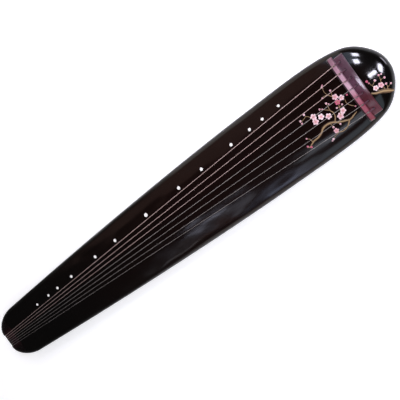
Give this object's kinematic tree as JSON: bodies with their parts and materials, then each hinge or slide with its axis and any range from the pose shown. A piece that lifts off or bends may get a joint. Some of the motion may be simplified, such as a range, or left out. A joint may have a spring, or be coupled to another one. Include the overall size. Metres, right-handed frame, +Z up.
{
  "type": "guqin",
  "caption": "Long narrow seven-string zither: hollow lacquered body with arched top, cross bridge, marker discs, turning pegs under the head, two feet and two peg guards.",
  "frame": {"origin": "on the table, under the middle of the body's outline", "axes": "+X to the head end with the bridge and pegs, +Y to the side with the markers, away from the player, +Z up"},
  "size_m": [1.22, 0.1968, 0.0919],
  "materials": {
    "lacquered_wood": "near-black warm lacquer over wood, polished to a deep gloss",
    "rosewood": "dark red hardwood, polished",
    "dark_rosewood": "very dark red hardwood, polished",
    "bare_wood": "bare sawn wood inside the body",
    "mother_of_pearl": "white shell inlay, polished",
    "string": "steel core wound with fine pale cord, satin",
    "silk_cord": "twisted dark red silk"
  },
  "bodies": {
    "root": {"top_board": "lacquered_wood", "bottom_board": "lacquered_wood", "bridge": "rosewood", "head_plate": "rosewood", "nut": "dark_rosewood", "lower_nut": "dark_rosewood", "tail_cap_far": "dark_rosewood", "tail_cap_near": "dark_rosewood", "peg_guard_far": "dark_rosewood", "peg_guard_near": "dark_rosewood", "foot_far": "dark_rosewood", "foot_near": "dark_rosewood", "foot_block_far": "bare_wood", "foot_block_near": "bare_wood", "front_post": "bare_wood", "rear_post": "bare_wood", "dragon_pool_trim": "dark_rosewood", "phoenix_pond_trim": "dark_rosewood", "marker_1": "mother_of_pearl", "marker_2": "mother_of_pearl", "marker_3": "mother_of_pearl", "marker_4": "mother_of_pearl", "marker_5": "mother_of_pearl", "marker_6": "mother_of_pearl", "marker_7": "mother_of_pearl", "marker_8": "mother_of_pearl", "marker_9": "mother_of_pearl", "marker_10": "mother_of_pearl", "marker_11": "mother_of_pearl", "marker_12": "mother_of_pearl", "marker_13": "mother_of_pearl", "string_1": "string", "string_2": "string", "string_3": "string", "string_4": "string", "string_5": "string", "string_6": "string", "string_7": "string", "tuft_1": "silk_cord", "tuft_2": "silk_cord", "tuft_3": "silk_cord", "tuft_4": "silk_cord", "tuft_5": "silk_cord", "tuft_6": "silk_cord", "tuft_7": "silk_cord"},
    "peg_1_body": {"peg_1": "dark_rosewood", "peg_wrap_1": "silk_cord"},
    "peg_2_body": {"peg_2": "dark_rosewood", "peg_wrap_2": "silk_cord"},
    "peg_3_body": {"peg_3": "dark_rosewood", "peg_wrap_3": "silk_cord"},
    "peg_4_body": {"peg_4": "dark_rosewood", "peg_wrap_4": "silk_cord"},
    "peg_5_body": {"peg_5": "dark_rosewood", "peg_wrap_5": "silk_cord"},
    "peg_6_body": {"peg_6": "dark_rosewood", "peg_wrap_6": "silk_cord"},
    "peg_7_body": {"peg_7": "dark_rosewood", "peg_wrap_7": "silk_cord"}
  },
  "joints": [
    {"name": "peg_1_turn", "type": "hinge", "parent": "root", "child": "peg_1_body", "pos_m": [0.533, 0.06015, 0.0252], "axis": [0, 0, 1], "continuous": true},
    {"name": "peg_2_turn", "type": "hinge", "parent": "root", "child": "peg_2_body", "pos_m": [0.533, 0.0401, 0.0252], "axis": [0, 0, 1], "continuous": true},
    {"name": "peg_3_turn", "type": "hinge", "parent": "root", "child": "peg_3_body", "pos_m": [0.533, 0.02005, 0.0252], "axis": [0, 0, 1], "continuous": true},
    {"name": "peg_4_turn", "type": "hinge", "parent": "root", "child": "peg_4_body", "pos_m": [0.533, 0, 0.0252], "axis": [0, 0, 1], "continuous": true},
    {"name": "peg_5_turn", "type": "hinge", "parent": "root", "child": "peg_5_body", "pos_m": [0.533, -0.02005, 0.0252], "axis": [0, 0, 1], "continuous": true},
    {"name": "peg_6_turn", "type": "hinge", "parent": "root", "child": "peg_6_body", "pos_m": [0.533, -0.0401, 0.0252], "axis": [0, 0, 1], "continuous": true},
    {"name": "peg_7_turn", "type": "hinge", "parent": "root", "child": "peg_7_body", "pos_m": [0.533, -0.06015, 0.0252], "axis": [0, 0, 1], "continuous": true}
  ]
}
